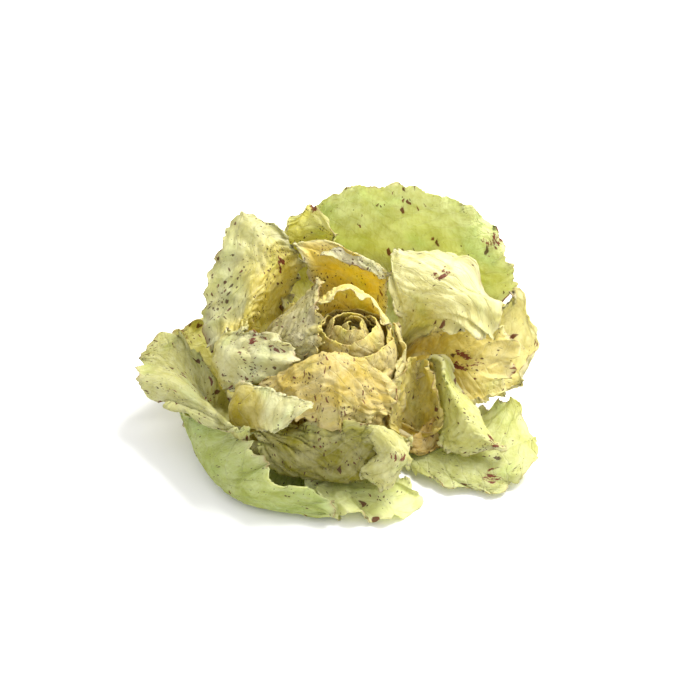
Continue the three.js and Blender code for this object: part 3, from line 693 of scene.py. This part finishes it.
add_leaf(MIDDLE, "middle_leaf_right_fold", 42, 16, [
    [(35, 10, 48), (38, 14, 46), (41, 17, 45), (45, 17, 44), (49, 17, 42)],
    [(33, 13, 70), (38, 11, 72), (46, 11, 72), (56, 5, 68), (64, 1, 60)],
    [(32, 24, 82), (39, 22, 86), (58, 16, 84), (75, 6, 76), (79, -11, 62)],
    [(33, 37, 88), (45, 32, 90), (71, 32, 88), (92, 8, 74), (91, -6, 58)],
], 1180, {
    "heart": (232, 220, 112), "body": (240, 236, 180), "margin": (244, 242, 200),
    "crease": 0.7 * MM, "ruffle": 3.6 * MM, "wave": 18 * MM, "lie": 2.4 * MM, "dots": 0.08,
    "dashes": 0.08,
}, stains=[(60, 18, 82, 8, 1.0)])
add_leaf(MIDDLE, "middle_leaf_back_rim", 92, 15, [
    [(-12, 26, 34), (0, 29, 34), (12, 30, 34), (22, 27, 34), (30, 21, 34)],
    [(-12, 38, 54), (-1, 44, 55), (11, 44, 55), (22, 37, 54), (31, 26, 52)],
    [(-18, 39, 76), (-3, 39, 78), (10, 36, 78), (22, 29, 76), (30, 21, 72)],
    [(-25, 49, 84), (-6, 47, 88), (10, 37, 88), (23, 29, 85), (31, 24, 80)],
    [(-22, 43, 80), (-6, 38, 82), (8, 30, 83), (21, 24, 80), (29, 20, 76)],
], 1200, {
    "heart": (248, 224, 84), "body": (244, 240, 196), "margin": (248, 246, 212),
    "turn": (0.72, 0.82), "ruffle": 1.4 * MM, "crease": 0.4 * MM, "dots": 0.5, "dashes": 0.05,
})
add_leaf(MIDDLE, "middle_leaf_crest", 130, 12, [
    [(-24, 22, 26), (-17, 27, 27), (-9, 30, 28), (-2, 31, 28), (5, 30, 28)],
    [(-37, 54, 56), (-30, 60, 56), (-21, 62, 56), (-11, 63, 56), (-1, 62, 56)],
    [(-36, 54, 80), (-29, 60, 82), (-21, 61, 82), (-10, 60, 82), (-1, 56, 82)],
    [(-30, 56, 90), (-23, 66, 94), (-13, 73, 96), (-6, 63, 94), (2, 49, 88)],
], 1220, {
    "heart": (228, 218, 84), "body": (230, 226, 110), "margin": (240, 236, 168),
    "ruffle": 1.6 * MM, "crease": 0.4 * MM,
}, stains=[(-13, 70, 94, 6, 1.0)])
add_leaf(MIDDLE, "middle_leaf_left_tall", 165, 16, [
    [(-28, 2, 19), (-30, 10, 19), (-29, 18, 20), (-25, 25, 22), (-18, 30, 25)],
    [(-51, 8, 36), (-49, 21, 35), (-44, 33, 36), (-36, 42, 40), (-26, 48, 44)],
    [(-53, 2, 58), (-48, 14, 64), (-42, 26, 68), (-31, 40, 68), (-20, 49, 66)],
    [(-54, -6, 55), (-53, 12, 66), (-46, 30, 82), (-38, 40, 91), (-21, 48, 79)],
    [(-71, -12, 44), (-76, 8, 57), (-72, 30, 79), (-55, 54, 102), (-28, 49, 88)],
], 1240, {
    "heart": (240, 226, 122), "body": (216, 214, 158), "margin": (220, 220, 166),
    "turn": (0.72, 0.84), "crease": 1.0 * MM, "quilt": 1.2 * MM, "veins": 8 * MM,
    "ruffle": 2.4 * MM, "dots": 0.5, "dashes": 0.12,
}, stains=[(-36, 42, 76, 10, 1.0)])
add_leaf(MIDDLE, "middle_leaf_left_frill", 192, 14, [
    [(-54, -26, 28), (-58, -17, 28), (-61, -8, 29), (-62, 2, 32), (-60, 8, 37)],
    [(-61, -31, 40), (-67, -24, 44), (-69, -17, 50), (-67, -10, 56), (-60, -5, 62)],
    [(-51, -43, 52), (-53, -36, 58), (-55, -29, 64), (-53, -20, 68), (-47, -16, 70)],
    [(-38, -42, 56), (-27, -43, 61), (-17, -42, 71), (-25, -33, 75), (-35, -25, 76)],
], 1260, {
    "heart": (214, 204, 92), "body": (238, 236, 184), "margin": (246, 244, 204),
    "turn": (0.5, 0.75), "teeth": 3.2 * MM, "crease": 1.0 * MM, "dots": 0.35, "dashes": 0.4,
}, stains=[(-44, -24, 72, 7, 1.0)])
add_leaf(MIDDLE, "middle_leaf_folded_tip", 232, 15, [
    [(-22, -46, 14), (-17, -50, 14), (-11, -53, 14), (-5, -55, 14), (1, -56, 14)],
    [(-58, -62, 38), (-57, -60, 44), (-55, -58, 50), (-53, -55, 55), (-51, -50, 58)],
    [(-42, -68, 43), (-42, -68, 50), (-41, -66, 56), (-40, -61, 60), (-39, -55, 63)],
    [(-30, -75, 49), (-29, -76, 56), (-27, -74, 60), (-26, -70, 63), (-25, -65, 65)],
    [(-19, -78, 62), (-16, -78, 65), (-13, -77, 67), (-12, -75, 67), (-13, -73, 68)],
], 1280, {
    "heart": (200, 184, 62), "body": (240, 238, 190), "margin": (246, 246, 208),
    "turn": (0.56, 0.66), "ruffle": 1.2 * MM, "crease": 0.3 * MM, "rim": 5, "dots": 0.06,
    "dashes": 0.02,
})
add_leaf(MIDDLE, "middle_leaf_front_lobe", 285, 13, [
    [(14, -47, 14), (19, -47, 14), (24, -46, 14), (29, -45, 14), (34, -43, 15)],
    [(24, -67, 30), (29, -66, 31), (34, -65, 32), (38, -64, 32), (42, -62, 31)],
    [(7, -65, 45), (16, -68, 47), (24, -69, 45), (32, -68, 40), (40, -64, 31)],
    [(21, -72, 32), (26, -78, 36), (32, -81, 37), (37, -80, 35), (42, -75, 29)],
    [(12, -78, 23), (19, -85, 26), (26, -88, 26), (32, -87, 26), (38, -80, 25)],
    [(17, -79, 15), (20, -83, 15), (25, -85, 14), (30, -85, 17), (33, -82, 19)],
], 1300, {
    "heart": (206, 200, 98), "body": (226, 224, 156), "margin": (236, 234, 172),
    "ruffle": 2.0 * MM, "dots": 0.3, "dashes": 0.12,
}, stains=[(34, -80, 34, 6, 1.0)])
# The front middle leaf's dark olive heart and body are partly its own olive and partly painted shade of the
# hollow it sits in, behind the rim of the front outer leaves.
add_leaf(MIDDLE, "middle_leaf_front", 260, 11, [
    [(-22, -30, 10), (-10, -36, 10), (4, -38, 10), (16, -36, 10), (26, -32, 11)],
    [(-36, -72, 22), (-19, -79, 16), (0, -79, 14), (18, -76, 15), (32, -70, 18)],
    [(-43, -70, 38), (-24, -75, 37), (-5, -76, 36), (14, -77, 39), (32, -71, 32)],
    [(-42, -61, 44), (-24, -63, 45), (-4, -64, 47), (12, -70, 52), (31, -68, 43)],
], 1320, {
    "heart": (158, 150, 30), "body": (166, 160, 46), "margin": (222, 222, 136),
    "turn": (0.5, 0.9), "quilt": 1.3 * MM, "crease": 1.2 * MM, "veins": 8 * MM, "dots": 0.35,
    "dashes": 0.2,
})

# ---- Outer leaves ----
# The oldest and greenest leaves, spread out below the rest. They have the thickest midribs,
# and a jagged margin. They spring from the stem just above the cut.
outer_material = leaf_material(
    "outer leaf", dashes_per_metre=250.0, dash_length=2.8, crumple=0.5, see_through=0.5)
OUTER = {
    "foot": 13, "slot": "outer_leaf", "material": outer_material,
    "style": {
        "ruffle": 3.0 * MM, "wave": 17 * MM, "teeth": 2.4 * MM, "veins": 13 * MM, "quilt": 0.6 * MM,
        "crease": 0.4 * MM,
    },
}

add_leaf(OUTER, "outer_leaf_left", 184, 9, [
    [(-22, -28, 7), (-29, -24, 8), (-35, -15, 10), (-39, -5, 12), (-41, 6, 15)],
    [(-43, -60, 18), (-51, -51, 17), (-56, -36, 17), (-59, -17, 20), (-57, 4, 27)],
    [(-49, -76, 49), (-58, -68, 47), (-67, -50, 41), (-71, -31, 31), (-68, -2, 34)],
    [(-61, -70, 44), (-63, -58, 45), (-72, -34, 35), (-79, -10, 31), (-80, 6, 38)],
    [(-87, -40, 34), (-86, -28, 39), (-91, -9, 35), (-93, 8, 35), (-88, 18, 43)],
    [(-104, -22, 28), (-112, -11, 32), (-115, 0, 34), (-112, 7, 38), (-105, 16, 42)],
], 1340, {
    "heart": (206, 200, 98), "body": (206, 204, 138), "margin": (222, 222, 164), "dots": 0.15,
    "dashes": 0.3,
}, stains=[(-70, -30, 34, 8, 0.9)])
add_leaf(OUTER, "outer_leaf_back_fan", 76, 8, [
    [(0, 34, 22), (10, 35, 18), (22, 34, 17), (34, 29, 18), (44, 22, 22)],
    [(-22, 76, 52), (5, 72, 52), (37, 68, 50), (70, 61, 48), (97, 40, 50)],
    [(-18, 73, 80), (5, 71, 84), (34, 71, 84), (69, 63, 80), (100, 46, 74)],
    [(-12, 74, 97), (9, 71, 107), (34, 73, 110), (65, 68, 104), (91, 65, 92)],
], 1360, {
    "heart": (222, 216, 110), "body": (220, 226, 162), "margin": (226, 230, 172),
    "ruffle": 2.8 * MM, "quilt": 0.35 * MM, "lie": 3.2 * MM, "dots": 0.02, "dashes": 0.22,
}, stains=[(94, 58, 82, 11, 1.0), (103, 48, 62, 8, 0.9)])
add_leaf(OUTER, "outer_leaf_front", 266, 7, [
    [(-12, -38, 7), (-4, -40, 7), (6, -41, 7), (16, -40, 7), (25, -36, 7)],
    [(-12, -67, 10), (-2, -67, 9), (8, -67, 8), (20, -67, 7), (33, -65, 7)],
    [(-16, -81, 14), (-3, -82, 11), (10, -81, 9), (25, -78, 7), (40, -70, 7)],
    [(-4, -92, 12), (8, -96, 8), (18, -98, 5), (30, -98, 3), (52, -83, 4)],
], 1380, {
    "heart": (212, 210, 92), "body": (236, 242, 170), "margin": (244, 248, 196), "dots": 0.2,
    "dashes": 0.05,
})
add_leaf(OUTER, "outer_leaf_right_rear", 14, 6, [
    [(34, -2, 10), (37, 4, 9), (38, 10, 9), (37, 16, 9), (34, 21, 10)],
    [(62, -4, 14), (67, 3, 14), (67, 13, 15), (64, 21, 19), (59, 28, 25)],
    [(98, -6, 18), (107, 3, 25), (107, 14, 37), (103, 22, 48), (98, 29, 58)],
    [(108, -4, 29), (114, 6, 39), (113, 17, 50), (109, 26, 62), (100, 30, 71)],
], 1400, {
    "heart": (240, 230, 132), "body": (248, 242, 200), "margin": (250, 244, 204),
    "ruffle": 2.8 * MM, "wave": 12 * MM, "teeth": 3.4 * MM, "crease": 0.9 * MM, "dots": 0.06,
    "dashes": 0.12,
}, stains=[(110, 6, 42, 10, 0.95)])
add_leaf(OUTER, "outer_leaf_left_rear", 148, 6, [
    [(-26, 4, 10), (-30, 10, 9), (-30, 17, 9), (-26, 24, 10), (-20, 28, 13)],
    [(-60, 8, 19), (-63, 17, 16), (-60, 30, 18), (-49, 43, 24), (-35, 50, 31)],
    [(-84, 10, 29), (-84, 22, 30), (-76, 40, 34), (-61, 55, 40), (-42, 60, 46)],
    [(-97, 16, 40), (-90, 24, 42), (-80, 36, 39), (-67, 50, 34), (-51, 60, 36)],
], 1420, {
    "heart": (212, 204, 104), "body": (222, 218, 140), "margin": (226, 220, 146), "dots": 0.3,
    "dashes": 0.25,
}, stains=[(-86, 24, 40, 8, 0.9)])
add_leaf(OUTER, "outer_leaf_right", 322, 4, [
    [(32, -42, 4), (36, -36, 5), (41, -29, 6), (46, -21, 6), (50, -15, 7)],
    [(44, -60, 4), (50, -50, 6), (56, -40, 8), (64, -29, 10), (71, -20, 12)],
    [(63, -70, 4), (70, -63, 8), (76, -49, 9), (82, -28, 8), (85, -6, 8)],
    [(79, -73, 3), (89, -68, 8), (96, -52, 10), (99, -27, 9), (97, 2, 9)],
    [(90, -74, 2), (102, -67, 7), (114, -48, 11), (110, -24, 10), (103, 2, 9)],
], 1440, {
    "heart": (214, 218, 136), "body": (212, 216, 142), "margin": (226, 228, 164),
    "quilt": 0.4 * MM, "dots": 0.15, "dashes": 0.07,
}, stains=[(86, -66, 6, 8, 1.0)])
add_leaf(OUTER, "outer_leaf_front_left", 226, 3.5, [
    [(-34, -8, 5), (-31, -22, 4), (-23, -33, 3), (-10, -42, 3), (6, -46, 3)],
    [(-77, -27, 12), (-69, -50, 5), (-54, -73, 3), (-27, -86, 2), (4, -92, 2)],
    [(-88, -28, 24), (-76, -54, 19), (-61, -76, 14), (-38, -90, 12), (0, -95, 7)],
    [(-62, -54, 36), (-46, -68, 43), (-37, -82, 36), (-27, -90, 25), (5, -95, 15)],
], 1460, {
    "heart": (204, 212, 104), "body": (198, 210, 116), "margin": (240, 244, 190), "rim": 5,
    "quilt": 0.5 * MM, "dots": 0.12, "dashes": 0.05,
})
add_leaf(OUTER, "outer_leaf_back", 112, 4, [
    [(-26, 24, 8), (-13, 33, 7), (0, 36, 7), (12, 35, 7), (24, 30, 8)],
    [(-46, 50, 22), (-20, 60, 16), (4, 64, 14), (26, 62, 16), (42, 54, 20)],
    [(-57, 66, 42), (-28, 80, 36), (4, 85, 32), (32, 80, 36), (52, 70, 42)],
    [(-58, 72, 60), (-32, 88, 58), (2, 94, 55), (34, 89, 56), (56, 77, 57)],
], 1480, {
    "heart": (206, 204, 104), "body": (208, 214, 122), "margin": (216, 218, 136),
})
add_leaf(OUTER, "outer_leaf_right_back", 45, 3, [
    [(24, 26, 5), (30, 22, 5), (35, 17, 5), (39, 11, 5), (42, 4, 5)],
    [(42, 56, 16), (54, 51, 13), (63, 43, 12), (69, 34, 12), (73, 24, 14)],
    [(52, 77, 34), (68, 69, 30), (80, 57, 28), (88, 44, 28), (94, 32, 32)],
    [(56, 84, 51), (73, 76, 48), (86, 63, 45), (96, 48, 46), (101, 36, 50)],
], 1500, {
    "heart": (206, 204, 104), "body": (208, 214, 122), "margin": (220, 216, 138),
})

# ---- Table and light ----
# The head stands on a plain white table, lit by a large soft lamp from the right and behind
# and by an even white surround.
bpy.ops.mesh.primitive_plane_add(size=6, location=(0, 0, 0))
table = bpy.context.object
table.name = "table"
table_material, tree = new_material("white table")
where = add(tree, "ShaderNodeTexCoord").outputs["Object"]
cloud = add(tree, "ShaderNodeTexNoise", {"Vector": where, "Scale": 3.0}).outputs["Fac"]
paint = blend_colours(tree, cloud, (0.93, 0.93, 0.93, 1.0), (0.95, 0.95, 0.95, 1.0))
top = add(tree, "ShaderNodeBsdfPrincipled", {"Base Color": paint, "Roughness": 0.9,
                                             "Specular IOR Level": 0.1})
add(tree, "ShaderNodeOutputMaterial", {"Surface": top.outputs[0]})
table.data.materials.append(table_material)

surround = bpy.data.worlds.new("surround")
bpy.context.scene.world = surround
surround.use_nodes = True
surround.node_tree.nodes["Background"].inputs["Color"].default_value = (1, 1, 1, 1)
surround.node_tree.nodes["Background"].inputs["Strength"].default_value = 1.1

bpy.ops.object.light_add(type="AREA", location=(0.5, 0.35, 0.95))
lamp = bpy.context.object
lamp.data.energy = 23
lamp.data.size = 0.6
lamp.rotation_euler = (Vector((0, 0, 0.04)) - lamp.location).to_track_quat("-Z", "Y").to_euler()
bpy.context.scene.view_settings.view_transform = "Standard"
